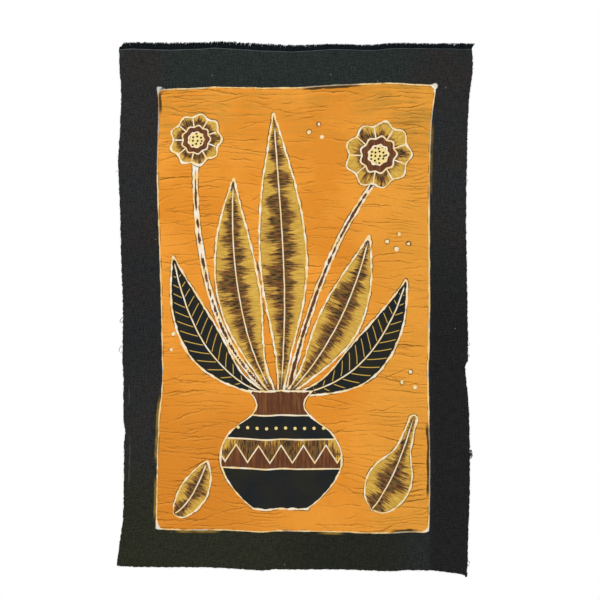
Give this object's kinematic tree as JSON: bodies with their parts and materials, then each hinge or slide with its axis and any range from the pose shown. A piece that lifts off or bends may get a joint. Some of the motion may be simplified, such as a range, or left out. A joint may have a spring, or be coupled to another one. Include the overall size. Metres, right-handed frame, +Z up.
{
  "type": "batik wall hanging",
  "caption": "Hanging length of wax-resist dyed cotton with raw, uneven edges, a dark border round a crackled picture panel, and a fringed selvedge along the top by which it hangs.",
  "frame": {"origin": "middle of the cloth's top edge, on the face towards the wall, which is the plane y = 0", "axes": "+Z up along the drop, +X to the right of a viewer in front, +Y from the picture towards the wall"},
  "size_m": [0.4087, 0.0114, 0.6132],
  "materials": {
    "dyed_cotton": "matt plain-weave cotton, wax-resist dyed in orange, ochre, brown and black with fine crackle lines",
    "selvedge_yarn": "matt blue-black cut cotton yarn ends"
  },
  "bodies": {
    "root": {"cloth": "dyed_cotton", "selvedge_fringe": "selvedge_yarn"}
  },
  "joints": []
}
